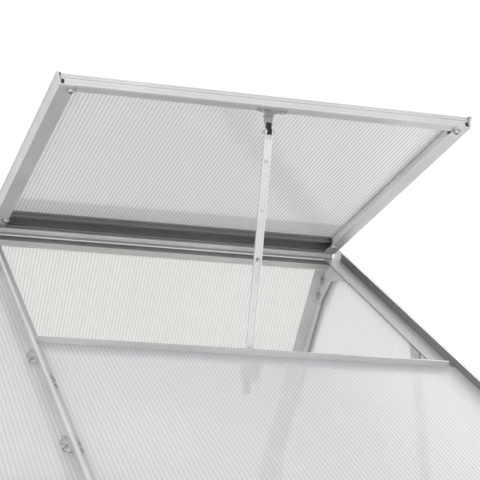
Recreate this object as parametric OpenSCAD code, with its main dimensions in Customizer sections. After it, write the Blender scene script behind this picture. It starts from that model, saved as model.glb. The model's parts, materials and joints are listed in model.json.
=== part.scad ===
// Cold frame with an apex roof, aluminium glazing bars, twin-wall sheets and one top-hinged roof window.
// Origin: centre of the footprint on the ground. X runs along the ridge, +Z is up, -Y is the window side.

/* [Overall] */
// clear width of one bay between bar webs
bay_w = 625; // [625:1:625]
// roof slope length from apex to eave
roof_len = 1060; // [1060:1:1060]
// height of the roof sheet plane at the eave
eave_h = 480; // [480:1:480]
// twin-wall sheet thickness
sheet_t = 4; // [4:1:4]
// distance between the ribs of the sheet
rib_pitch = 6; // [6:1:8]

/* [Window] */
// how far the window stands open in the drawn pose
open_deg = 35.9; // [35.9:0.1:35.9]
// distance from the apex to the sill upstand
sill_d = 566.5; // [566.5:0.5:566.5]

/* [Nodes] */
// which piece to draw

/* [Hidden] */

pitch = 37.5;
cp = cos(pitch);
sp = sin(pitch);
tp = tan(pitch);
apex_z = eave_h + roof_len * sp;
web_t = 3;
skin_t = 0.5;
// bars: ledge is the flat on which a sheet lies
ledge_t = 2;
mid_ledge = 16.5;
end_in = web_t / 2 + bay_w;
end_ledge = 29;
outer_x = end_in + web_t;
mid_web_h = 17;
end_web_h = 14;
rafter_top = 34;
rafter_end = roof_len - 10;
leg_end = roof_len - 60;
gable_leg_h = 18;
outer_leg_h = 24;
chan_half = 9.5;
chan_deep = 14;
chan_slot = 4;
// walls
wall_y = 806;
wall_sheet_y = 799.5;
base_h = 60;
base_foot = 30;
seat_z = 40;
lip_h = 12;
gable_in = 620.5;
gable_out = 625.5;
upright_y = 330;
bar_half = 16;
eave_top = roof_len - 58;
eave_edge = roof_len - 14;
eave_web_z = eave_h - 28;
tie_z = 470;
// ridge
ridge_half = 616;
ridge_flange = 32;
ridge_t = 2.5;
ridge_box = 10;
ridge_drop = 24;
sheet_top = 25;
// hinge
hinge_d = 17.9;
hinge_h = 12;
bead_r = 3;
socket_r = 3.05;
socket_out = 5.3;
lid_rise = 7;
// window, measured in the window's own frame: u from the hinge, h from the sheet underside
lid_x0 = 8;
lid_x1 = 616.6;
lid_in0 = 30.5;
lid_in1 = 596;
lid_u = 570;
lid_flange = 1.5;
lid_deep = 13.9;
lid_top = 5.5;
rail_over = 5;
rear_u = 42;
screw_x = [26.5, 602];
screw_u = [40, 558.5];
screw_r = 6.2;
screw_t = 3.4;
wing_u = 561;
wing_x = 15;
ledge_u = 540;
stay_x = 316;
stay_u = 541.5;
pin_h = -37.8;
pin_r = 2.5;
pin_fit = 2.55;
block_w = 3.6;
ear_in = 3.9;
ear_out = 5.6;
stay_lean = 21.7;
stay_len = 372;
hole_r = 3;
hole_pitch = 70;
hole_first = 42;
bolt_r = 3;
bolt_hole_r = 3.2;
head_r = 5.5;
head_t = 4;

// point on the front slope in the Y, Z plane
function fp(d, h) = [-(d * cp + h * sp), apex_z - d * sp + h * cp];

// profile in Y, Z pushed along X from x0 to x1
module along_x(x0, x1)
  translate([x0, 0, 0])
    rotate([90, 0, 90])
      linear_extrude(x1 - x0)
        children();

// front slope frame: y = minus distance down the slope, z = height above the sheet plane
module slope()
  translate([0, 0, apex_z])
    rotate([pitch, 0, 0])
      children();

module back_slope()
  mirror([0, 1, 0])
    slope()
      children();

// profile in X, height pushed down the slope from d0 to d1
module down_slope(d0, d1)
  translate([0, -d0, 0])
    rotate([90, 0, 0])
      linear_extrude(d1 - d0)
        children();

module box(x0, x1, y0, y1, z0, z1)
  translate([x0, y0, z0])
    cube([x1 - x0, y1 - y0, z1 - z0]);

module rect(x0, x1, y0, y1)
  translate([x0, y0])
    square([x1 - x0, y1 - y0]);

// everything above the roof plane at height h
module above_roof(h)
  along_x(-700, 700)
    polygon([[0, apex_z + h / cp], fp(1400, h), [-1200, 1800], [1200, 1800],
      [-fp(1400, h)[0], fp(1400, h)[1]]]);

// twin-wall sheet lying in X, Y with ribs along Y, drawn from its underside up
module twin_wall(x0, x1, len)
  rotate([90, 0, 0])
    linear_extrude(len)
      twin_section(x0, x1);

module twin_section(x0, x1)
  difference() {
    rect(x0, x1, 0, sheet_t);
    for (i = [0 : floor((x1 - x0 - skin_t) / rib_pitch) - 1])
      translate([x0 + skin_t + i * rib_pitch, skin_t])
        square([rib_pitch - skin_t, sheet_t - 2 * skin_t]);
  }

// ---- base ----
module base_long()
  union() {
    box(-outer_x, outer_x, -wall_y, -wall_y + 1.8, 0, base_h);
    box(-outer_x, outer_x, -wall_y, -wall_y + base_foot, 0, 2.4);
    box(-590, 590, -wall_y + 1.8, -790, seat_z, seat_z + 2);
    box(-590, 590, -797.3, -795.3, seat_z + 2, seat_z + 2 + lip_h);
  }

module base_rail_front()
  color([0.8, 0.81, 0.82])
    base_long();

module base_rail_back()
  color([0.8, 0.81, 0.82])
    mirror([0, 1, 0])
      base_long();

module base_side()
  union() {
    box(outer_x - 1.8, outer_x, -804.1, 804.1, 2.5, base_h);
    box(600, outer_x, -775.9, 775.9, 0, 2.4);
    box(612, outer_x - 1.8, -764, 764, seat_z, seat_z + 2);
    box(616.2, 618.2, -764, 764, seat_z + 2, seat_z + 2 + lip_h);
  }

module base_rail_right()
  color([0.8, 0.81, 0.82])
    base_side();

module base_rail_left()
  color([0.8, 0.81, 0.82])
    mirror([1, 0, 0])
      base_side();

// ---- uprights ----
module corner_post()
  difference() {
    union() {
      box(592, gable_out, -wall_sheet_y, -wall_sheet_y + 2, 2.5, 560);
      difference() {
        box(gable_in - 2, gable_in, -wall_sheet_y + 2, -765, 2.5, 560);
        above_roof(-gable_leg_h - 0.6);
      }
      box(gable_out, gable_out + 2, -804, -765, 2.5, 560);
    }
    above_roof(-4.5);
    eave_holes();
  }

module corner_posts()
  color([0.8, 0.81, 0.82])
    for (mx = [0, 1])
      for (my = [0, 1])
        mirror([mx, 0, 0])
          mirror([0, my, 0])
            corner_post();

module wall_bar()
  difference() {
    union() {
      box(-bar_half, bar_half, -wall_sheet_y, -wall_sheet_y + 2, seat_z + 2.1, 560);
      box(-1.5, 1.5, -wall_sheet_y - 4.3, -wall_sheet_y, seat_z + 2.1, 560);
      box(-1.5, 1.5, -812, -wall_sheet_y - 4.3, base_h + 0.2, 560);
    }
    above_roof(-4.5);
  }

module wall_bar_front()
  color([0.8, 0.81, 0.82])
    wall_bar();

module wall_bar_back()
  color([0.8, 0.81, 0.82])
    mirror([0, 1, 0])
      wall_bar();

module gable_upright(y)
  difference() {
    union() {
      difference() {
        box(gable_in - 2, gable_in, y - bar_half, y + bar_half, seat_z + 2.1, 1100);
        above_roof(-gable_leg_h - 0.6);
      }
      difference() {
        box(gable_in, gable_out + 2, y - 1.5, y + 1.5, seat_z + 2.1, 1100);
        above_roof(-2.3);
      }
    }
    box(gable_out, gable_out + 3, y - 3, y + 3, 0, seat_z + 2.2);
  }

module gable_uprights_right()
  color([0.8, 0.81, 0.82])
    for (y = [-upright_y, upright_y])
      gable_upright(y);

module gable_uprights_left()
  color([0.8, 0.81, 0.82])
    mirror([1, 0, 0])
      for (y = [-upright_y, upright_y])
        gable_upright(y);

module gable_tie()
  union() {
    box(616.3, 618.3, -788, 788, tie_z, tie_z + 30);
    box(600, 616.3, -788, 788, tie_z, tie_z + 2);
  }

module gable_tie_right()
  color([0.8, 0.81, 0.82])
    gable_tie();

module gable_tie_left()
  color([0.8, 0.81, 0.82])
    mirror([1, 0, 0])
      gable_tie();

// ---- eave ----
module eave_rail()
  union() {
    along_x(-outer_x, outer_x)
      polygon([fp(eave_top, -2.2), fp(eave_edge, -2.2), fp(eave_edge, -4.2), fp(eave_top, -4.2)]);
    along_x(-615, 615)
      polygon([[-797.4, eave_web_z], [-795.4, eave_web_z],
        [-795.4, apex_z - 795.4 * tp - 3 / cp], [-797.4, apex_z - 797.4 * tp - 3 / cp]]);
    box(-615, 615, -795.4, -783, eave_web_z, eave_web_z + 2);
  }

module eave_rail_front()
  color([0.8, 0.81, 0.82])
    difference() {
      eave_rail();
      eave_holes();
    }

module eave_rail_back()
  color([0.8, 0.81, 0.82])
    mirror([0, 1, 0])
      difference() {
        eave_rail();
        eave_holes();
      }

// ---- ridge ----
module ridge_half_profile()
  union() {
    polygon([[0, apex_z], fp(ridge_flange, 0), fp(ridge_flange, -ridge_t), [0, apex_z - ridge_t / cp]]);
    polygon([fp(hinge_d - 1.5, -1), fp(hinge_d + 1.5, -1), fp(hinge_d + 1.5, 8), fp(hinge_d - 1.5, 8)]);
  }

module socket_profile()
  translate(fp(hinge_d, hinge_h))
    rotate([0, 0, pitch])
      difference() {
        circle(r = socket_out, $fn = 48);
        circle(r = socket_r, $fn = 48);
        polygon([[0, 0], [-9, -4.6], [-12, 0], [-9, 8], [-2.4, 9]]);
      }

module ridge_profile()
  union() {
    difference() {
      ridge_half_profile();
      translate(fp(hinge_d, hinge_h))
        circle(r = socket_r, $fn = 48);
    }
    socket_profile();
    mirror([1, 0])
      polygon([[0, apex_z], fp(ridge_flange, 0), fp(ridge_flange, -ridge_t), [0, apex_z - ridge_t / cp]]);
    difference() {
      polygon([[-ridge_box, apex_z - ridge_drop], [ridge_box, apex_z - ridge_drop],
        [ridge_box, apex_z - ridge_box * tp - 1], [0, apex_z - 1],
        [-ridge_box, apex_z - ridge_box * tp - 1]]);
      polygon([[2 - ridge_box, apex_z - ridge_drop + 2], [ridge_box - 2, apex_z - ridge_drop + 2],
        [ridge_box - 2, apex_z - ridge_box * tp - 2], [0, apex_z - 5],
        [2 - ridge_box, apex_z - ridge_box * tp - 2]]);
    }
  }

module ridge_beam()
  color([0.8, 0.81, 0.82])
    along_x(-ridge_half, ridge_half)
      ridge_profile();

// ---- rafters ----
module mid_rafter()
  slope()
    union() {
      down_slope(rafter_top, rafter_end)
        union() {
          rect(-mid_ledge, mid_ledge, -ledge_t, 0);
          rect(-web_t / 2, web_t / 2, -1, mid_web_h - 2);
          translate([0, mid_web_h - 2])
            circle(r = 3, $fn = 32);
        }
      down_slope(rafter_top, leg_end)
        for (m = [0, 1])
          mirror([m, 0])
            union() {
              rect(chan_half - 2, chan_half, -chan_deep, -1);
              rect(chan_slot, chan_half, -chan_deep, -chan_deep + 2);
            }
    }

module mid_rafter_front()
  color([0.8, 0.81, 0.82])
    mid_rafter();

module mid_rafter_back()
  color([0.8, 0.81, 0.82])
    mirror([0, 1, 0])
      mid_rafter();

module end_rafter()
  slope()
    union() {
      down_slope(rafter_top, rafter_end)
        union() {
          rect(end_in - end_ledge, outer_x, -ledge_t, 0);
          rect(end_in, outer_x, -ledge_t, end_web_h);
          rect(end_in, outer_x + 2, end_web_h - 2, end_web_h);
        }
      down_slope(rafter_top, leg_end)
        union() {
          rect(outer_x - 1.8, outer_x, -outer_leg_h, -1);
          rect(gable_in - 2, gable_in, -gable_leg_h, -1);
        }
    }

module end_rafter_drilled()
  difference() {
    end_rafter();
    gusset_holes();
  }

module end_rafter_front_right()
  color([0.8, 0.81, 0.82])
    end_rafter_drilled();

module end_rafter_front_left()
  color([0.8, 0.81, 0.82])
    mirror([1, 0, 0])
      end_rafter_drilled();

module end_rafter_back_right()
  color([0.8, 0.81, 0.82])
    mirror([0, 1, 0])
      end_rafter_drilled();

module end_rafter_back_left()
  color([0.8, 0.81, 0.82])
    mirror([0, 1, 0])
      mirror([1, 0, 0])
        end_rafter_drilled();

// ---- plates and brackets ----
module gusset_plate(x)
  along_x(x, x + 2)
    polygon([[0, apex_z - 5], fp(96, -3), fp(96, -17), [0, apex_z - 50], [-fp(96, -17)[0], fp(96, -17)[1]],
      [-fp(96, -3)[0], fp(96, -3)[1]]]);

module gusset_holes()
  for (d = [50, 82])
    slope()
      translate([gable_in - 8, -d, -10])
        rotate([0, 90, 0])
          cylinder(r = bolt_hole_r, h = 10, $fn = 24);

module ridge_gusset()
  difference() {
    gusset_plate(616.3);
    gusset_holes();
    mirror([0, 1, 0])
      gusset_holes();
  }

module ridge_gussets()
  color([0.7, 0.71, 0.72])
    for (m = [0, 1])
      mirror([m, 0, 0])
        ridge_gusset();

module strap_side()
  difference() {
    slope()
      box(-12, 12, -90, -20, -16.3, -14.2);
    slope()
      translate([0, -70, -20])
        cylinder(r = bolt_hole_r, h = 10, $fn = 24);
  }

module ridge_strap()
  color([0.7, 0.71, 0.72])
    union() {
      difference() {
        union() {
          strap_side();
          mirror([0, 1, 0])
            strap_side();
        }
        box(-20, 20, -13, 13, apex_z - ridge_drop - 0.2, apex_z);
        box(-20, 20, -8, 8, apex_z - 60, apex_z);
      }
      box(-12, 12, -9.5, 9.5, apex_z - ridge_drop - 3.2, apex_z - ridge_drop - 0.2);
    }

module eave_bracket()
  difference() {
    translate([0, -793.2, 0])
      rotate([90, 0, 0])
        linear_extrude(2)
          polygon([[560, eave_web_z + 3], [612, eave_web_z + 3], [612, eave_h + 18], [590, eave_h + 18]]);
    eave_holes();
  }

module eave_holes()
  for (m = [0, 1])
    mirror([m, 0, 0])
      for (x = [585, 603])
        translate([x, -790, eave_web_z + 14])
          rotate([90, 0, 0])
            cylinder(r = bolt_hole_r, h = 12, $fn = 24);

module eave_brackets()
  color([0.7, 0.71, 0.72])
    for (mx = [0, 1])
      for (my = [0, 1])
        mirror([mx, 0, 0])
          mirror([0, my, 0])
            eave_bracket();

module ridge_end_caps()
  color([0.8, 0.81, 0.82])
    for (m = [0, 1])
      mirror([m, 0, 0])
        along_x(outer_x + 2.1, outer_x + 4)
          polygon([[0, apex_z + 14], fp(110, 13), fp(110, -20), [0, apex_z - 45],
            [-fp(110, -20)[0], fp(110, -20)[1]], [-fp(110, 13)[0], fp(110, 13)[1]]]);

// ---- sheets ----
module roof_sheet(x0, x1, d0)
  slope()
    translate([0, -d0, 0])
      twin_wall(x0, x1, roof_len - 5 - d0);

module roof_sheet_front_left()
  color([0.9, 0.93, 0.95, 0.5])
    roof_sheet(-end_in + 1, -2, sheet_top);

module roof_sheet_front_right()
  color([0.9, 0.93, 0.95, 0.5])
    roof_sheet(2, end_in - 1, sill_d + 4);

module roof_sheet_back_left()
  color([0.9, 0.93, 0.95, 0.5])
    mirror([0, 1, 0])
      roof_sheet(-end_in + 1, -2, sheet_top);

module roof_sheet_back_right()
  color([0.9, 0.93, 0.95, 0.5])
    mirror([0, 1, 0])
      roof_sheet(2, end_in - 1, sheet_top);

module wall_sheet(x0, x1)
  translate([0, -wall_sheet_y, seat_z + 2.2])
    linear_extrude(456)
      mirror([0, 1])
        twin_section(x0, x1);

module wall_sheets_front()
  color([0.9, 0.93, 0.95, 0.5])
    union() {
      wall_sheet(2, gable_out - 0.5);
      mirror([1, 0, 0])
        wall_sheet(2, gable_out - 0.5);
    }

module wall_sheets_back()
  color([0.9, 0.93, 0.95, 0.5])
    mirror([0, 1, 0])
      union() {
        wall_sheet(2, gable_out - 0.5);
        mirror([1, 0, 0])
          wall_sheet(2, gable_out - 0.5);
      }

module gable_sheet(y0, y1)
  difference() {
    translate([gable_in + 0.5, 0, seat_z + 2.2])
      rotate([0, 0, 90])
        linear_extrude(1100)
          mirror([0, 1])
            twin_section(y0, y1);
    above_roof(-4.4);
  }

module gable_sheets()
  union() {
    gable_sheet(-upright_y + 2, upright_y - 2);
    gable_sheet(upright_y + 2, 797);
    gable_sheet(-797, -upright_y - 2);
  }

module gable_sheets_right()
  color([0.9, 0.93, 0.95, 0.5])
    gable_sheets();

module gable_sheets_left()
  color([0.9, 0.93, 0.95, 0.5])
    mirror([1, 0, 0])
      gable_sheets();

// ---- window sill and stay catch ----
module window_sill()
  color([0.8, 0.81, 0.82])
    slope()
      union() {
        down_slope(sill_d, sill_d + 3)
          union() {
            rect(17, 597, -ledge_t, 12);
            rect(3, 614.5, 0.1, 12);
          }
        down_slope(sill_d + 2, sill_d + 25)
          rect(17, 597, -ledge_t, -0.1);
        down_slope(sill_d + 2, sill_d + 5)
          rect(20, 590.5, 4.1, 6.4);
      }

module stay_catch()
  color([0.7, 0.71, 0.72])
    slope()
      union() {
        box(stay_x - 14, stay_x + 14, -sill_d - 20, -sill_d - 3.5, -4.1, -2.1);
        box(stay_x - 14, stay_x + 14, -sill_d - 5.5, -sill_d - 3.5, -34, -2.1);
        translate([stay_x, -sill_d - 4, -28])
          rotate([-90, 0, 0])
            cylinder(r = 2.4, h = 3, $fn = 24);
      }

// ---- glazing clips ----
module clip(x, s, d)
  slope()
    translate([x, -d, sheet_t + 0.1])
      linear_extrude(1.6)
        polygon([[0, 0], [s * 10, 14], [s * 1.5, 24], [s * 10, 34], [0, 48], [0, 45], [s * 7.5, 34],
          [s * 0.1, 24], [s * 7.5, 14], [0, 3]]);

module clip_row(x, s, list)
  for (d = list)
    clip(x, s, d);

module glazing_clips()
  color([0.6, 0.61, 0.62])
    union() {
      clip_row(-1.6, -1, [260, 660, 945]);
      clip_row(1.6, 1, [745, 945]);
      clip_row(end_in - 0.1, -1, [745, 945]);
      clip_row(-end_in + 0.1, 1, [260, 660, 945]);
      mirror([0, 1, 0])
        for (m = [0, 1])
          mirror([m, 0, 0])
            union() {
              clip_row(1.6, 1, [260, 660, 945]);
              clip_row(end_in - 0.1, -1, [260, 660, 945]);
            }
    }

// ---- fasteners ----
module each_gusset_bolt()
  for (mx = [0, 1])
    for (my = [0, 1])
      mirror([mx, 0, 0])
        mirror([0, my, 0])
          for (d = [50, 82])
            slope()
              translate([0, -d, -10])
                rotate([0, 90, 0])
                  children();

module each_eave_bolt()
  for (mx = [0, 1])
    for (my = [0, 1])
      mirror([mx, 0, 0])
        mirror([0, my, 0])
          for (x = [585, 603])
            translate([x, 0, eave_web_z + 14])
              rotate([90, 0, 0])
                children();

module frame_bolts()
  color([0.65, 0.66, 0.68])
    union() {
      each_gusset_bolt()
        translate([0, 0, 612.2])
          union() {
            cylinder(r = head_r, h = head_t, $fn = 6);
            cylinder(r = bolt_r - 0.5, h = 8.2, $fn = 24);
          }
      each_eave_bolt()
        translate([0, 0, 797.5])
          union() {
            cylinder(r = bolt_r, h = 1, $fn = 24);
            translate([0, 0, -13])
              cylinder(r = bolt_r, h = 14, $fn = 24);
          }
    }

module ridge_screws()
  color([0.65, 0.66, 0.68])
    for (mx = [0, 1])
      for (x = [586, 602])
        mirror([mx, 0, 0])
          back_slope()
            translate([x, -22, -ridge_t - 3.1])
              cylinder(r = 4.5, h = 3, $fn = 32);

module frame_nuts()
  color([0.65, 0.66, 0.68])
    each_eave_bolt()
      translate([0, 0, 788.9])
        difference() {
          cylinder(r = head_r, h = 4.2, $fn = 6);
          translate([0, 0, -1])
            cylinder(r = bolt_r + 0.05, h = 7, $fn = 24);
        }

// ---- window ----
module lid_place()
  slope()
    translate([0, -hinge_d, hinge_h])
      rotate([-open_deg, 0, 0])
        children();

// same frame with z = height above the window sheet's underside
module lid_frame()
  lid_place()
    translate([0, 0, lid_rise])
      children();

// profile in -u, height pushed along X
module lid_profile(x0, x1)
  translate([x0, 0, 0])
    rotate([90, 0, 90])
      linear_extrude(x1 - x0)
        children();

// s is 1 where the middle of the window lies towards +X
module side_section(outer, inner, s)
  union() {
    rect(min(outer, inner), max(outer, inner), -lid_deep, -lid_deep + lid_flange);
    polygon([[outer, -lid_deep], [outer + s * 1.6, -lid_deep], [outer - s, 1], [outer - s * 3, lid_top],
      [outer - s * 5, lid_top], [outer - s * 2.7, 0.5]]);
    rect(min(outer - s * 2, inner), max(outer - s * 2, inner), lid_top - 1.4, lid_top);
    rect(min(inner, inner - s * 1.6), max(inner, inner - s * 1.6), -lid_deep, 0);
    rect(min(inner, inner + s * 3), max(inner, inner + s * 3), -1.4, -0.1);
    for (h = [-9.5, -5.3])
      rect(min(inner, inner + s * 0.8), max(inner, inner + s * 0.8), h, h + 1.2);
  }

module side_rail(outer, inner, s)
  difference() {
    down_slope(rail_over, lid_u + rail_over)
      side_section(outer, inner, s);
    for (span = [[-lid_u - 20, -ledge_u + 1], [-rear_u - 9.2, 0]])
      box(min(outer, inner) + (s > 0 ? 1.7 : -5), max(outer, inner) + (s > 0 ? 5 : -1.7),
        span[0], span[1], -lid_deep + lid_flange + 0.1, lid_top + 1);
  }

module screw_holes()
  for (x = screw_x)
    for (u = screw_u)
      translate([x, -u, -lid_deep - 1])
        cylinder(r = 2.3, h = 6, $fn = 24);

module wing_holes()
  for (x = [-wing_x, wing_x])
    translate([stay_x + x, -wing_u, -lid_deep - 2])
      cylinder(r = 1.8, h = 8, $fn = 24);

module lid_left_rail()
  color([0.8, 0.81, 0.82])
    lid_frame()
      difference() {
        side_rail(lid_x0, lid_in0, 1);
        screw_holes();
      }

module lid_right_rail()
  color([0.8, 0.81, 0.82])
    lid_frame()
      difference() {
        side_rail(lid_x1, lid_in1, -1);
        screw_holes();
      }

module front_rail_profile()
  difference() {
    union() {
      rect(-lid_u, -lid_u + 1.8, -12.2, lid_top);
      rect(-lid_u, -lid_u + 16, -12.2, -10.7);
      rect(-lid_u, -ledge_u, -1.5, -0.1);
      rect(-lid_u, -lid_u + 12, lid_top - 1.4, lid_top);
      translate([-lid_u + 0.4, -9])
        circle(r = 3.1, $fn = 32);
      translate([-lid_u + 0.4, lid_top - 1.2])
        circle(r = 1.2, $fn = 24);
    }
    rect(-lid_u - 1, -lid_u + 0.8, -1.4, -0.2);
  }

module lid_front_rail()
  color([0.8, 0.81, 0.82])
    lid_frame()
      difference() {
        lid_profile(lid_x0 + 1.9, lid_x1 - 1.9)
          front_rail_profile();
        screw_holes();
        wing_holes();
      }

module hinge_rail_profile()
  union() {
    translate([0, -lid_rise])
      circle(r = bead_r, $fn = 48);
    rect(-9, 0, -lid_rise - 1, -lid_rise + 1);
    rect(-9, -7.4, -lid_rise - 1, 3.9);
    rect(-rear_u, -7.4, 2.4, 3.9);
    rect(-rear_u, -rear_u + 1.6, -6, 3.9);
    rect(-rear_u, -rear_u + 5, -6, -4.6);
    rect(-rear_u - 9, -rear_u, -1.5, -0.1);
  }

module lid_hinge_rail()
  color([0.8, 0.81, 0.82])
    lid_frame()
      lid_profile(lid_x0 + 1.9, lid_x1 - 1.9)
        hinge_rail_profile();

module lid_sheet()
  color([0.9, 0.93, 0.95, 0.5])
    lid_frame()
      translate([0, -rear_u - 0.2, 0])
        twin_wall(lid_in0 - 10, lid_in1 + 10, lid_u - rear_u - 2.4);

module lid_screws()
  color([0.65, 0.66, 0.68])
    lid_frame()
      for (x = screw_x)
        for (u = screw_u)
          translate([x, -u, -lid_deep - screw_t - 0.1])
            union() {
              cylinder(r = screw_r, h = screw_t, $fn = 32);
              cylinder(r = 2.2, h = screw_t + 4.2, $fn = 24);
            }

module stay_bracket()
  color([0.7, 0.71, 0.72])
    lid_frame()
      difference() {
        union() {
          translate([stay_x, 0, -lid_deep])
            linear_extrude(1.6)
              polygon([[-22, -568], [22, -568], [22, -557], [7, -553], [7, -stay_u + 1],
                [-7, -stay_u + 1], [-7, -553], [-22, -557]]);
          translate([stay_x, -stay_u + 1, 0])
            rotate([90, 0, 0])
              linear_extrude(2)
                polygon([[-7, -lid_deep + 0.5], [7, -lid_deep + 0.5], [5, -29.5], [-5, -29.5]]);
        }
        wing_holes();
      }

module bracket_screws()
  color([0.65, 0.66, 0.68])
    lid_frame()
      for (x = [-wing_x, wing_x])
        translate([stay_x + x, -wing_u, -lid_deep - 2.1])
          union() {
            cylinder(r = 3.4, h = 2, $fn = 32);
            cylinder(r = 1.7, h = 6, $fn = 24);
          }

module stay_block()
  color([0.06, 0.06, 0.06])
    lid_frame()
      difference() {
        union() {
          box(stay_x - block_w, stay_x + block_w, -stay_u - 3, -stay_u + 3, pin_h, -24);
          translate([stay_x - block_w, -stay_u, pin_h])
            rotate([0, 90, 0])
              cylinder(r = 3.6, h = 2 * block_w, $fn = 40);
        }
        box(stay_x - 8, stay_x + 8, -stay_u - 1.1, -stay_u + 1.1, -29.6, 0);
        translate([stay_x - 10, -stay_u, pin_h])
          rotate([0, 90, 0])
            cylinder(r = pin_r, h = 20, $fn = 40);
      }

module stay_pin()
  color([0.65, 0.66, 0.68])
    lid_frame()
      translate([stay_x - 9, -stay_u, pin_h])
        rotate([0, 90, 0])
          cylinder(r = pin_r, h = 18, $fn = 40);

module stay_bar()
  color([0.75, 0.76, 0.77])
    lid_frame()
      translate([stay_x, -stay_u, pin_h])
        rotate([stay_lean, 0, 0])
          difference() {
            union() {
              box(-ear_out, ear_out, 1, 2.6, -stay_len, -10);
              for (s = [-1, 1])
                translate([s > 0 ? ear_in : -ear_out, 0, 0])
                  union() {
                    translate([0, -2.6, -stay_len])
                      cube([ear_out - ear_in, 5.2, stay_len]);
                    rotate([0, 90, 0])
                      cylinder(r = 4.7, h = ear_out - ear_in, $fn = 40);
                  }
            }
            translate([-10, 0, 0])
              rotate([0, 90, 0])
                cylinder(r = pin_fit, h = 20, $fn = 40);
            for (i = [0 : 4])
              translate([0, 0, -hole_first - i * hole_pitch])
                rotate([-90, 0, 0])
                  cylinder(r = hole_r, h = 6, $fn = 32);
          }

base_rail_front();
base_rail_back();
base_rail_left();
base_rail_right();
corner_posts();
wall_bar_front();
wall_bar_back();
eave_rail_front();
eave_rail_back();
ridge_beam();
mid_rafter_front();
mid_rafter_back();
end_rafter_front_left();
end_rafter_front_right();
end_rafter_back_left();
end_rafter_back_right();
gable_uprights_left();
gable_uprights_right();
gable_tie_left();
gable_tie_right();
ridge_gussets();
ridge_strap();
eave_brackets();
ridge_end_caps();
roof_sheet_front_left();
roof_sheet_front_right();
roof_sheet_back_left();
roof_sheet_back_right();
wall_sheets_front();
wall_sheets_back();
gable_sheets_left();
gable_sheets_right();
window_sill();
stay_catch();
glazing_clips();
frame_bolts();
frame_nuts();
ridge_screws();
lid_front_rail();
lid_hinge_rail();
lid_left_rail();
lid_right_rail();
lid_sheet();
lid_screws();
stay_bracket();
bracket_screws();
stay_block();
stay_pin();
stay_bar();
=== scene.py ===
"""Looks of the apex cold frame: camera, light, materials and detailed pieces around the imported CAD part."""

import json
import math

import bpy
import bmesh
from mathutils import Matrix, Vector


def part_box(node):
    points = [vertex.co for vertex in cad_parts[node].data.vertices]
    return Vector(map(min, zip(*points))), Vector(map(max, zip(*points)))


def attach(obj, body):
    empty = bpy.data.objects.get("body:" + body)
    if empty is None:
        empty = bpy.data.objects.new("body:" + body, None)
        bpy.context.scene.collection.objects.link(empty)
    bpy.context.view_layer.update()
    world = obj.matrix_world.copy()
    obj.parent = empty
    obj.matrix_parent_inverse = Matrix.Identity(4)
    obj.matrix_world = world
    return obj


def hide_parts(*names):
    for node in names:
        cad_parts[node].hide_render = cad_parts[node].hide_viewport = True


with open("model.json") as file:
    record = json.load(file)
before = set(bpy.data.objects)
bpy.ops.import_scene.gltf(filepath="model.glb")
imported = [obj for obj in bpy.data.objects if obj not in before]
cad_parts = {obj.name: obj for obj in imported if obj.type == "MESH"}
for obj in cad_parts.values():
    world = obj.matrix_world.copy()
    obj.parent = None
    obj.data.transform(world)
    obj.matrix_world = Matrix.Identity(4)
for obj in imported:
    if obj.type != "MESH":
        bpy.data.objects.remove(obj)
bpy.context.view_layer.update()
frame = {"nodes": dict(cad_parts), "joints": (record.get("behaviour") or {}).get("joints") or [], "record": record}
NODES = frame["nodes"]

# ---- where things are ----
PITCH = math.radians(37.5)
CP, SP = math.cos(PITCH), math.sin(PITCH)
hinge = next(j for j in frame["joints"] if j["name"] == "window_hinge")
# hinge axis: distance down the slope from the apex, and height above the sheet plane
HINGE_D, HINGE_H = 0.0179, 0.012
APEX = hinge["pos_m"][2] + HINGE_D * SP - HINGE_H * CP
OPEN = math.radians(35.9)
LID_RISE = 0.007
LID_DEEP = 0.0139
# half the gap between the two wall sheets at the middle bar
MID_GAP = 0.002
SHEET = 0.004
RIB = 0.006


def slope_matrix(side=1):
    """x along the ridge, y up the slope, z out of the roof; side -1 is the back slope."""
    m = Matrix.Translation((0, 0, APEX)) @ Matrix.Rotation(PITCH, 4, "X")
    return m if side == 1 else Matrix.Rotation(math.pi, 4, "Z") @ m


LID = (slope_matrix() @ Matrix.Translation((0, -HINGE_D, HINGE_H)) @ Matrix.Rotation(-OPEN, 4, "X")
       @ Matrix.Translation((0, 0, LID_RISE)))


# ---- materials ----
def new_material(name):
    mat = bpy.data.materials.new(name)
    mat.use_nodes = True
    tree = mat.node_tree
    tree.nodes.clear()
    out = tree.nodes.new("ShaderNodeOutputMaterial")
    return mat, tree, out


def node(tree, kind, **inputs):
    n = tree.nodes.new(kind)
    for k, v in inputs.items():
        n.inputs[k.replace("_", " ")].default_value = v
    return n


def coords(tree, scale):
    tc = tree.nodes.new("ShaderNodeTexCoord")
    mp = tree.nodes.new("ShaderNodeMapping")
    mp.inputs["Scale"].default_value = scale
    tree.links.new(tc.outputs["Object"], mp.inputs["Vector"])
    return mp.outputs["Vector"]


def ramp(tree, fac, stops):
    r = tree.nodes.new("ShaderNodeValToRGB")
    els = r.color_ramp.elements
    for i, (pos, grey) in enumerate(stops):
        e = els[i] if i < 2 else els.new(pos)
        e.position = pos
        e.color = tuple(grey) + (1,) if isinstance(grey, (tuple, list)) else (grey, grey, grey, 1)
    tree.links.new(fac, r.inputs["Fac"])
    return r.outputs["Color"]


def multiply(tree, a, b, fac=1.0):
    """Colour a times colour b; each of a, b and fac is an output socket or a value."""
    m = tree.nodes.new("ShaderNodeMixRGB")
    m.blend_type = "MULTIPLY"
    for key, value in (("Fac", fac), ("Color1", a), ("Color2", b)):
        if isinstance(value, bpy.types.NodeSocket):
            tree.links.new(value, m.inputs[key])
        else:
            m.inputs[key].default_value = value
    return m.outputs["Color"]


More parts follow.
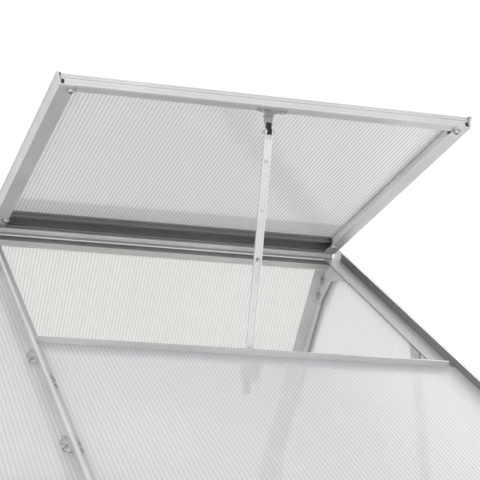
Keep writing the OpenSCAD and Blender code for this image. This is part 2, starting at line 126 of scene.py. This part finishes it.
def scale_add(tree, a, factor, add):
    """a * factor + add, where add is an output socket or a number."""
    m = tree.nodes.new("ShaderNodeMath")
    m.operation = "MULTIPLY_ADD"
    tree.links.new(a, m.inputs[0])
    m.inputs[1].default_value = factor
    if isinstance(add, bpy.types.NodeSocket):
        tree.links.new(add, m.inputs[2])
    else:
        m.inputs[2].default_value = add
    return m.outputs[0]


def map_range(tree, a, from_min, from_max, to_min=0.0):
    """Maps from_min..from_max on to to_min..1, held at both ends."""
    m = tree.nodes.new("ShaderNodeMapRange")
    m.inputs["From Min"].default_value = from_min
    m.inputs["From Max"].default_value = from_max
    m.inputs["To Min"].default_value = to_min
    tree.links.new(a, m.inputs["Value"])
    return m.outputs[0]


def retone(mat, tone, fac):
    """Multiplies a metal's base colour; tone and fac are output sockets or values."""
    bsdf = next(n for n in mat.node_tree.nodes if n.type == "BSDF_PRINCIPLED")
    base = bsdf.inputs["Base Color"].links[0].from_socket
    mat.node_tree.links.new(multiply(mat.node_tree, base, tone, fac), bsdf.inputs["Base Color"])


def metal(name, grey, rough, metallic, grain=(8, 60, 60), tint=(1, 1, 1.01), wear=0.12, bump=0.12):
    mat, t, out = new_material(name)
    bsdf = node(t, "ShaderNodeBsdfPrincipled", Metallic=metallic)
    streak = node(t, "ShaderNodeTexNoise", Scale=22.0, Detail=5.0, Roughness=0.6)
    t.links.new(coords(t, grain), streak.inputs["Vector"])
    cloud = node(t, "ShaderNodeTexNoise", Scale=6.0, Detail=4.0, Roughness=0.55)
    t.links.new(coords(t, (1, 1, 1)), cloud.inputs["Vector"])
    lo, hi = grey * (1 - wear), min(1, grey * (1 + wear * 0.5))
    base = ramp(t, cloud.outputs["Fac"], [(0.3, [lo * c for c in tint]), (0.7, [hi * c for c in tint])])
    fine = ramp(t, streak.outputs["Fac"], [(0.3, 0.9), (0.7, 1.0)])
    t.links.new(multiply(t, base, fine, 0.8), bsdf.inputs["Base Color"])
    rr = ramp(t, streak.outputs["Fac"], [(0.25, rough * 0.85), (0.75, min(1, rough * 1.2))])
    t.links.new(rr, bsdf.inputs["Roughness"])
    b = node(t, "ShaderNodeBump", Strength=bump, Distance=0.0003)
    t.links.new(streak.outputs["Fac"], b.inputs["Height"])
    t.links.new(b.outputs["Normal"], bsdf.inputs["Normal"])
    t.links.new(bsdf.outputs["BSDF"], out.inputs["Surface"])
    return mat


def paint_side_light(mat, tone, toward=(-1, 0, 0)):
    """Painted light or shade: multiplies the colour by tone on the faces that look along toward; a tone above 1
    paints light, below 1 paints shade.
    """
    t = mat.node_tree
    tcn = t.nodes.new("ShaderNodeTexCoord")
    dot = t.nodes.new("ShaderNodeVectorMath")
    dot.operation = "DOT_PRODUCT"
    dot.inputs[1].default_value = toward
    t.links.new(tcn.outputs["Normal"], dot.inputs[0])
    retone(mat, (*tone, 1), map_range(t, dot.outputs["Value"], 0.6, 0.9))
    return mat


def sheet_material(name, clear, tint, rib_axis=0, rib_dark=0.3, through=0.6, film=0.9, painted_shade_bands=False):
    """Twin-wall sheet: milky, ribbed, lets soft light through.

    rib_axis is the object axis across the ribs; the flag for the window sheet adds its painted shade, a darker
    band by the hinge rail and a soft diagonal band.
    """
    mat, t, out = new_material(name)
    tc = t.nodes.new("ShaderNodeTexCoord")
    sep = t.nodes.new("ShaderNodeSeparateXYZ")
    t.links.new(tc.outputs["Object"], sep.inputs["Vector"])
    cosine = t.nodes.new("ShaderNodeMath")
    cosine.operation = "COSINE"
    t.links.new(scale_add(t, sep.outputs[rib_axis], 2 * math.pi / RIB, 0.0), cosine.inputs[0])
    half = scale_add(t, cosine.outputs[0], 0.5, 0.5)
    cloud = node(t, "ShaderNodeTexNoise", Scale=2.2, Detail=4.0)
    t.links.new(coords(t, (1, 1, 1)), cloud.inputs["Vector"])
    rib = node(t, "ShaderNodeTexNoise", Scale=1.0, Detail=2.0)
    t.links.new(coords(t, (260, 3, 260) if rib_axis == 0 else (3, 260, 3)), rib.inputs["Vector"])
    ribs = ramp(t, half, [(0.25, 1.0), (0.95, 1 - rib_dark)])
    haze = ramp(t, cloud.outputs["Fac"], [(0.35, [0.955 * c for c in tint]), (0.65, tint)])
    vary = ramp(t, rib.outputs["Fac"], [(0.3, 0.95), (0.7, 1.0)])
    colour = multiply(t, multiply(t, ribs, haze), vary)
    if painted_shade_bands:
        # painted shade: a darker band on the sheet next to the hinge rail, from 0.115 m down to 0.105 m from the
        # hinge
        edge = ramp(t, scale_add(t, sep.outputs[1], 8.0, 1.0), [(0.08, 1.0), (0.16, 0.74)])
        # painted shade: one soft diagonal darker band across the window sheet
        across = scale_add(t, sep.outputs[1], -0.673, sep.outputs[0])
        band = ramp(t, across, [(0.5, 0.96), (0.575, 0.975), (0.605, 0.9), (0.63, 0.9), (0.665, 1.0)])
        colour = multiply(t, multiply(t, colour, edge), band)
    diff = node(t, "ShaderNodeBsdfDiffuse")
    trans = node(t, "ShaderNodeBsdfTranslucent")
    gloss = node(t, "ShaderNodeBsdfGlossy", Roughness=0.16, Color=(1, 1, 1, 1))
    clearb = node(t, "ShaderNodeBsdfTransparent", Color=(film, film, film, 1))
    t.links.new(colour, diff.inputs["Color"])
    t.links.new(colour, trans.inputs["Color"])
    m1 = node(t, "ShaderNodeMixShader", Fac=through)
    t.links.new(diff.outputs[0], m1.inputs[1])
    t.links.new(trans.outputs[0], m1.inputs[2])
    m2 = node(t, "ShaderNodeMixShader", Fac=clear)
    t.links.new(m1.outputs[0], m2.inputs[1])
    t.links.new(clearb.outputs[0], m2.inputs[2])
    facing = node(t, "ShaderNodeLayerWeight", Blend=0.12)
    sheen = t.nodes.new("ShaderNodeMath")
    sheen.operation = "MULTIPLY"
    sheen.inputs[1].default_value = 0.35
    t.links.new(facing.outputs["Facing"], sheen.inputs[0])
    m3 = t.nodes.new("ShaderNodeMixShader")
    t.links.new(sheen.outputs[0], m3.inputs["Fac"])
    t.links.new(m2.outputs[0], m3.inputs[1])
    t.links.new(gloss.outputs[0], m3.inputs[2])
    b = node(t, "ShaderNodeBump", Strength=0.5, Distance=0.0005)
    t.links.new(half, b.inputs["Height"])
    for n in (diff, gloss):
        t.links.new(b.outputs["Normal"], n.inputs["Normal"])
    t.links.new(m3.outputs[0], out.inputs["Surface"])
    return mat


ALU = metal("mill_aluminium_look", 0.58, 0.4, 0.6)
# painted shade: a dark copy of the aluminium for the window's hinge rail, which sits in shade under the ridge
ALU_DARK = metal("mill_aluminium_shade_painted_look", 0.27, 0.36, 0.7)
# painted shade and light for the ridge beam: a darker copy of the aluminium, made 2.2 times lighter and cream on
# the faces that look down and forward
ALU_MID = paint_side_light(metal("mill_aluminium_ridge_look", 0.36, 0.36, 0.6), (2.2, 2.16, 2.08),
                      (0, -0.61, -0.79))
# painted light: the window's right rail is made 1.5 times lighter on the faces that look towards -X, under the
# window
ALU_LID = paint_side_light(metal("mill_aluminium_lid_look", 0.58, 0.4, 0.5), (1.5, 1.5, 1.48))
# painted shade: the front right end rafter is darkened to 0.42 of its colour on the faces that look towards -X
ALU_SHADE = paint_side_light(metal("mill_aluminium_side_shade_painted_look", 0.58, 0.42, 0.6), (0.42, 0.42, 0.42))
# painted light: a lighter, less metallic copy of the aluminium for the back right end rafter and the ridge
# gussets, lighter still on the faces that look towards -X
ALU_PALE = paint_side_light(metal("mill_aluminium_light_painted_look", 0.64, 0.5, 0.3), (1.25, 1.23, 1.19))
PLATE = metal("galvanised_look", 0.44, 0.42, 0.65, grain=(20, 20, 20), wear=0.25)
ZINC = metal("zinc_look", 0.5, 0.3, 0.85, grain=(30, 30, 30))
WIRE = metal("spring_wire_look", 0.42, 0.28, 0.9, grain=(30, 30, 30))
STAY = metal("stay_metal_look", 0.66, 0.38, 0.5)
BLACK = metal("black_plastic_look", 0.012, 0.75, 0.0, grain=(20, 20, 20), tint=(1, 1, 1), bump=0.3)
LID_SHEET = sheet_material("lid_sheet_look", 0.4, (0.87, 0.87, 0.866), rib_dark=0.42, film=0.92, painted_shade_bands=True)
ROOF_SHEET = sheet_material("roof_sheet_look", 0.46, (0.89, 0.895, 0.915), rib_dark=0.2, film=0.96)
BACK_SHEET = sheet_material("back_sheet_look", 0.4, (0.88, 0.875, 0.855), rib_dark=0.26, film=0.94)
GABLE_SHEET = sheet_material("gable_sheet_look", 0.5, (0.88, 0.88, 0.88), rib_axis=1, rib_dark=0.2, film=0.95)

LOOK = {"mill_aluminium": ALU, "galvanised_plate": PLATE, "zinc_fastener": ZINC, "spring_wire": WIRE,
        "stay_metal": STAY, "black_plastic": BLACK, "twin_wall_sheet": ROOF_SHEET}
SLOT = {s["node"]: s["material_slot"] for s in frame["record"]["subparts"]}

for name, ob in NODES.items():
    ob.data.materials.clear()
    ob.data.materials.append(LOOK[SLOT[name]])
    # painted light and shade: these parts get the lit or shaded copies of the aluminium made above
    if name == "lid_hinge_rail":
        ob.data.materials[0] = ALU_DARK
    if name == "lid_right_rail":
        ob.data.materials[0] = ALU_LID
    if name == "ridge_beam":
        ob.data.materials[0] = ALU_MID
    if name == "end_rafter_front_right":
        ob.data.materials[0] = ALU_SHADE
    if name in ("end_rafter_back_right", "ridge_gussets"):
        ob.data.materials[0] = ALU_PALE
    if SLOT[name] != "twin_wall_sheet":
        bev = ob.modifiers.new("edge_break", "BEVEL")
        bev.width = 0.00035
        bev.segments = 2
        bev.limit_method = "ANGLE"
        bev.angle_limit = math.radians(40)


# ---- pieces ----
def mesh_object(name, bm, mat, matrix=None):
    me = bpy.data.meshes.new(name)
    bm.normal_update()
    bm.to_mesh(me)
    bm.free()
    ob = bpy.data.objects.new(name, me)
    bpy.context.scene.collection.objects.link(ob)
    ob.data.materials.append(mat)
    if matrix is not None:
        ob.matrix_world = matrix
    return ob


def box_into(bm, lo, hi):
    r = bmesh.ops.create_cube(bm, size=1.0)
    for v in r["verts"]:
        v.co = Vector([lo[i] + (v.co[i] + 0.5) * (hi[i] - lo[i]) for i in range(3)])


def prism(bm, pts, a, b):
    """Closed prism over the outline pts in Y and Z, from X = a to X = b."""
    low = [bm.verts.new((a, y, z)) for y, z in pts]
    high = [bm.verts.new((b, y, z)) for y, z in pts]
    n = len(pts)
    bm.faces.new(low[::-1])
    bm.faces.new(high)
    for i in range(n):
        bm.faces.new((low[i], low[(i + 1) % n], high[(i + 1) % n], high[i]))
    bmesh.ops.recalc_face_normals(bm, faces=bm.faces)


def roof_sheet(cad, side, mat):
    lo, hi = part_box(cad)
    d0, d1 = roof_span(lo, hi)
    bm = bmesh.new()
    x0, x1 = (lo.x, hi.x) if side == 1 else (-hi.x, -lo.x)
    box_into(bm, (x0, -d1, 0), (x1, -d0, SHEET))
    ob = mesh_object(cad + "_panel", bm, mat, slope_matrix(side))
    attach(ob, "frame")
    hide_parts(cad)
    return ob


def roof_span(lo, hi):
    """Distances down the slope of a sheet's two ends, from its box."""
    top = (APEX + SHEET * CP - hi.z) / SP
    bottom = (APEX - lo.z) / SP
    return top, bottom


roof_sheet("roof_sheet_front_left", 1, ROOF_SHEET)
roof_sheet("roof_sheet_front_right", 1, ROOF_SHEET)
roof_sheet("roof_sheet_back_left", -1, BACK_SHEET)
roof_sheet("roof_sheet_back_right", -1, BACK_SHEET)

# stay: painted shade, the part that hangs behind the lower sheet is darkened, down to 0.22 of its colour below the
# sill
sill_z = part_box("window_sill")[0].z
tree = STAY.node_tree
place = tree.nodes.new("ShaderNodeSeparateXYZ")
tree.links.new(tree.nodes.new("ShaderNodeTexCoord").outputs["Object"], place.inputs["Vector"])
retone(STAY, map_range(tree, place.outputs["Z"], sill_z - 0.02, sill_z + 0.012, 0.22), 1.0)

# window sheet
inv = LID.inverted()
co = [inv @ v.co for v in NODES["lid_sheet"].data.vertices]
lo = [min(c[i] for c in co) for i in range(3)]
hi = [max(c[i] for c in co) for i in range(3)]
bm = bmesh.new()
box_into(bm, (lo[0], lo[1], 0.0), (hi[0], hi[1], SHEET))
lid_sheet = mesh_object("lid_sheet_panel", bm, LID_SHEET, LID)
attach(lid_sheet, "window")
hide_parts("lid_sheet")

# wall sheets
for cad in ("wall_sheets_front", "wall_sheets_back"):
    lo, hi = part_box(cad)
    bm = bmesh.new()
    box_into(bm, (lo.x, lo.y, lo.z), (-MID_GAP, hi.y, hi.z))
    box_into(bm, (MID_GAP, lo.y, lo.z), (hi.x, hi.y, hi.z))
    ob = mesh_object(cad + "_panel", bm, ROOF_SHEET)
    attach(ob, "frame")
    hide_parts(cad)

# gable sheets, three to a side
SPLIT_Y, SPLIT_GAP, UNDER_ROOF = 0.328, 0.004, 0.0044


def gable_top(y):
    return APEX - abs(y) * math.tan(PITCH) - UNDER_ROOF / CP


for cad in ("gable_sheets_left", "gable_sheets_right"):
    lo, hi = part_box(cad)
    bm = bmesh.new()
    for y0, y1 in ((lo.y, -SPLIT_Y - SPLIT_GAP), (-SPLIT_Y, SPLIT_Y), (SPLIT_Y + SPLIT_GAP, hi.y)):
        pts = [(y0, lo.z), (y1, lo.z), (y1, gable_top(y1))]
        if y0 < 0 < y1:
            pts.append((0, gable_top(0)))
        pts.append((y0, gable_top(y0)))
        prism(bm, pts, lo.x, hi.x)
    ob = mesh_object(cad + "_panel", bm, GABLE_SHEET)
    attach(ob, "frame")
    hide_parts(cad)


# ---- fasteners ----
def lathe(bm, profile, place, segments=32):
    """Adds a turned solid: profile is (radius, height) pairs from the axis out and back."""
    turns = [2 * math.pi * i / segments for i in range(segments)]
    rings = []
    for r, h in profile:
        if r == 0:
            rings.append([bm.verts.new(place @ Vector((0, 0, h)))])
        else:
            rings.append([bm.verts.new(place @ Vector((r * math.cos(a), r * math.sin(a), h))) for a in turns])
    for a, b in zip(rings, rings[1:]):
        for i in range(segments):
            j = (i + 1) % segments
            quad = [a[i % len(a)], a[j % len(a)], b[j % len(b)], b[i % len(b)]]
            uniq = []
            for v in quad:
                if v not in uniq:
                    uniq.append(v)
            if len(uniq) > 2:
                bm.faces.new(uniq)
    bmesh.ops.recalc_face_normals(bm, faces=bm.faces)


PAN_HEAD = [(0, 0.0), (0.0062, 0.0), (0.0062, -0.0008), (0.0058, -0.0018), (0.0046, -0.0029),
            (0.0028, -0.0034), (0.0014, -0.0034), (0.0008, -0.0016), (0, -0.0016)]
WASHER_T = 0.0007
WASHER = [(0, 0.0), (0.0075, 0.0), (0.0075, -WASHER_T), (0, -WASHER_T)]
HEAD_SCALE = 0.9
# one arm of the cross recess: length, width, depth, and its depth's middle counted in depths
ARM_L, ARM_W, ARM_T, ARM_AT = 0.0056, 0.0011, 0.0008, -4.4
ARM_TURN = 0.4
SHANK = [(0, 0.004), (0.0021, 0.0036), (0.0021, -0.0005), (0, -0.0005)]


def solids(ob):
    """The corner points of each loose solid of a CAD node, in the shared frame."""
    bm = bmesh.new()
    bm.from_mesh(ob.data)
    bmesh.ops.remove_doubles(bm, verts=bm.verts, dist=1e-6)
    left, groups = set(bm.verts), []
    while left:
        stack, seen = [left.pop()], []
        while stack:
            v = stack.pop()
            seen.append(v.co.copy())
            for e in v.link_edges:
                w = e.other_vert(v)
                if w in left:
                    left.discard(w)
                    stack.append(w)
        groups.append(seen)
    bm.free()
    return groups


def finish_piece(ob, body, cad, smooth=True):
    if smooth:
        ob.data.polygons.foreach_set("use_smooth", [True] * len(ob.data.polygons))
        ob.data.update()
        ob.modifiers.new("split", "EDGE_SPLIT").split_angle = math.radians(38)
    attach(ob, body)
    if cad:
        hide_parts(cad)
    return ob


bm = bmesh.new()
cross = bmesh.new()
for g in solids(NODES["lid_screws"]):
    local = [inv @ v for v in g]
    centre = sum(local, Vector()) / len(local)
    place = LID @ Matrix.Translation((centre.x, centre.y, -LID_DEEP))
    lathe(bm, WASHER, place)
    lathe(bm, PAN_HEAD, place @ Matrix.Translation((0, 0, -WASHER_T)) @ Matrix.Scale(HEAD_SCALE, 4))
    lathe(bm, SHANK, place)
    # painted shade: the cross recess is drawn as a solid dark cross set into each head, in the black plastic
    # material, for the shade in the recess
    for a in (ARM_TURN, ARM_TURN + math.pi / 2):
        r = bmesh.ops.create_cube(cross, size=1.0)
        m = place @ Matrix.Rotation(a, 4, "Z") @ Matrix.Diagonal((ARM_L, ARM_W, ARM_T, 1))
        for v in r["verts"]:
            v.co = m @ (v.co + Vector((0, 0, ARM_AT)))
finish_piece(mesh_object("lid_screws_pan_heads", bm, ZINC), "window", "lid_screws")
finish_piece(mesh_object("lid_screws_recess", cross, BLACK), "window", None, smooth=False)

# open screw ports in the cut ends of the window's front rail, drawn as painted shade: black boxes on the cut ends
# stand for the shade inside the ports
rail_co = [inv @ v.co for v in NODES["lid_front_rail"].data.vertices]
fx0, fx1 = min(v.x for v in rail_co), max(v.x for v in rail_co)
fy = min(v.y for v in rail_co)
bm = bmesh.new()
for x in (fx0 + 0.0005, fx1 - 0.0045):
    box_into(bm, (x, fy - 0.0006, -0.0105), (x + 0.004, fy + 0.001, -0.0045))
ports = mesh_object("lid_front_rail_ports", bm, BLACK, LID)
finish_piece(ports, "window", None, smooth=False)

# spring wire glazing clips: a curl at each end and a W between them
WIRE_R, WIRE_LIFT = 0.0009, 0.001
WEB_GAP = 0.0012
CURL_R, CURL_IN, CURL_END, CURL_RISE = 0.0026, 0.0035, 0.0032, 0.003
CURL_STEPS, CURL_TURN = 4, math.pi * 0.8
CLIP_REACH = 0.011
# share of the clip's length, share of its reach, rise
BENDS = ((0.16, 0.55, 0.001), (0.27, 0.86, 0), (0.33, 0.82, 0), (0.42, 0.5, 0.0006), (0.48, 0.2, 0.0016),
         (0.52, 0.2, 0.0016), (0.58, 0.5, 0.0006), (0.67, 0.82, 0), (0.73, 0.86, 0), (0.84, 0.55, 0.001))
END_BAR_X = 0.3


def curl(web, s, y, z):
    """Points of one end loop, opening away from the bar's web; s is the direction out from it."""
    turns = [k / CURL_STEPS * CURL_TURN for k in range(-CURL_STEPS, CURL_STEPS + 1)]
    return [(web + s * (CURL_IN - CURL_R * math.cos(a)), y + CURL_R * math.sin(a), z + CURL_RISE)
            for a in turns]


wire = bpy.data.curves.new("glazing_clips_wire", "CURVE")
wire.dimensions = "3D"
wire.bevel_depth = WIRE_R
wire.bevel_resolution = 3
wire.use_fill_caps = True
for g in solids(NODES["glazing_clips"]):
    m = slope_matrix(1 if sum(v.y for v in g) < 0 else -1)
    loc = [m.inverted() @ v for v in g]
    near, far = sorted((min(v.x for v in loc), max(v.x for v in loc)), key=abs)
    if abs(near) > END_BAR_X:
        near, far = far, near
    s = 1 if far > near else -1
    web = near + s * WEB_GAP
    y0, y1 = min(v.y for v in loc), max(v.y for v in loc)
    z = SHEET + WIRE_LIFT
    pts = curl(web, s, y0 + CURL_END, z)
    pts += [(web + s * CLIP_REACH * w, y0 + (y1 - y0) * f, z + up) for f, w, up in BENDS]
    pts += curl(web, s, y1 - CURL_END, z)
    sp = wire.splines.new("POLY")
    sp.points.add(len(pts) - 1)
    for p, q in zip(sp.points, pts):
        p.co = (*(m @ Vector(q)), 1)
clips = bpy.data.objects.new("glazing_clips_wire", wire)
bpy.context.scene.collection.objects.link(clips)
wire.materials.append(WIRE)
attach(clips, "frame")
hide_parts("glazing_clips")

# ---- studio ----
bm = bmesh.new()
bmesh.ops.create_grid(bm, x_segments=1, y_segments=1, size=9.0)
FLOOR, ft, fo = new_material("studio_floor")
fb = node(ft, "ShaderNodeBsdfDiffuse", Color=(0.86, 0.86, 0.86, 1))
ft.links.new(fb.outputs[0], fo.inputs["Surface"])
floor = mesh_object("studio_floor", bm, FLOOR)

scene = bpy.context.scene
world = bpy.data.worlds.new("studio")
scene.world = world
world.use_nodes = True
world.node_tree.nodes["Background"].inputs["Color"].default_value = (1, 1, 1, 1)
world.node_tree.nodes["Background"].inputs["Strength"].default_value = 1.05


def area(name, place, target, size, watts):
    data = bpy.data.lights.new(name, "AREA")
    data.size = size
    data.energy = watts
    ob = bpy.data.objects.new(name, data)
    scene.collection.objects.link(ob)
    ob.location = place
    ob.rotation_euler = (Vector(target) - Vector(place)).to_track_quat("-Z", "Y").to_euler()
    return ob


area("key", (-2.2, -2.6, 3.4), (0.2, 0, 0.8), 2.2, 44)
area("rim", (2.4, 2.4, 2.8), (0.2, 0, 0.8), 2.0, 55)
area("fill", (-1.2, -3.4, 0.9), (0.3, -0.4, 1.0), 1.6, 44)

# ---- camera ----
RIGHT = Vector((0.95252809, -0.30229667, -0.03615187))
UP = Vector((-0.09237932, -0.40012641, 0.91179214))
BACK = RIGHT.cross(UP)
cam_data = bpy.data.cameras.new("camera")
cam_data.sensor_width = 36.0
cam_data.lens = 121.7
cam_data.shift_x = -0.0208
cam_data.shift_y = -0.1708
cam_data.clip_start = 0.05
cam_data.clip_end = 100.0
cam = bpy.data.objects.new("camera", cam_data)
scene.collection.objects.link(cam)
cam.matrix_world = Matrix.Translation((-0.3744, -2.5328, APEX - 1.0224)) @ Matrix(
    (RIGHT, UP, BACK)).transposed().to_4x4()
scene.camera = cam
scene.view_settings.view_transform = "Standard"
